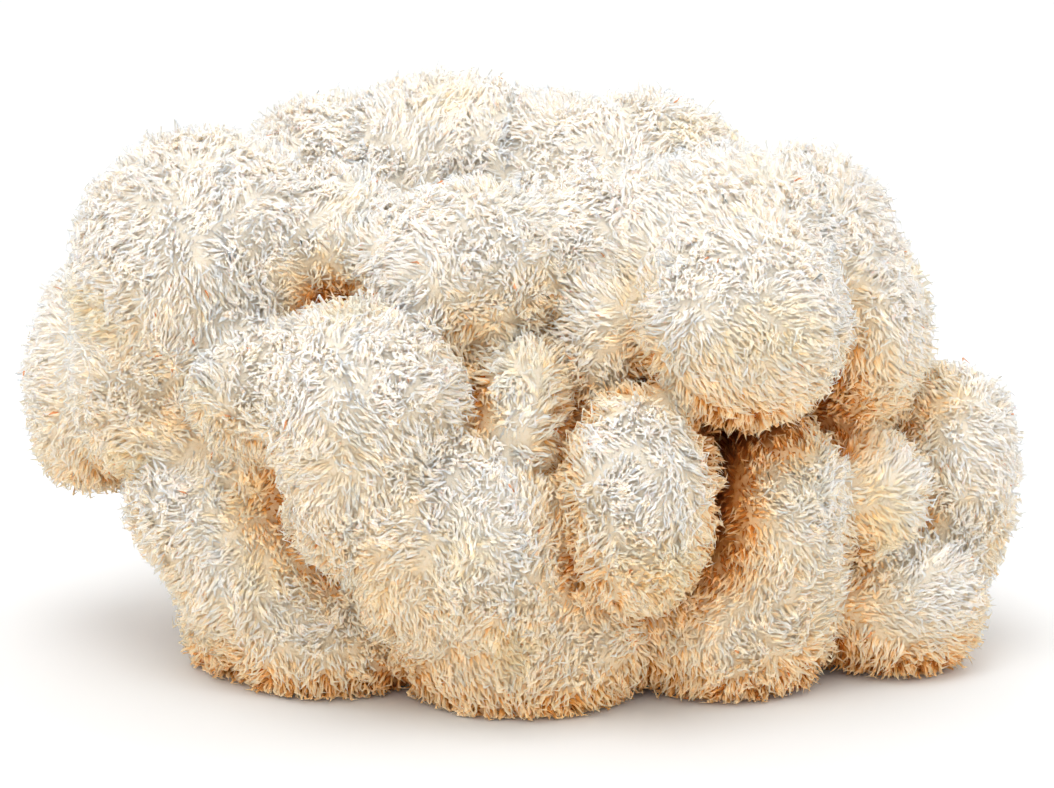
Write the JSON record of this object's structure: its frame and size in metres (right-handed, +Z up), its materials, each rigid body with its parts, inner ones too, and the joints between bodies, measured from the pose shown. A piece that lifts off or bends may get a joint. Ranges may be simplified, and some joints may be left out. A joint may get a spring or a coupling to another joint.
{
  "type": "lion's mane mushroom",
  "caption": "Lion's mane mushroom: a creamy white fruiting body of crowded, rounded lobes covered in short shaggy spines, sliced flat underneath.",
  "frame": {"origin": "centre of the flat cut under the stem, where the mushroom was sliced off its block, on the surface it rests on", "axes": "+X to the right as the picture shows it, +Y away from the viewer, +Z up"},
  "size_m": [0.182, 0.1159, 0.1051],
  "materials": {
    "flesh": "matt, dry, shaggy cream-white fungus spines, tan to orange-brown at their roots and in the creases"
  },
  "bodies": {
    "root": {"fruiting_body": "flesh"}
  },
  "joints": []
}
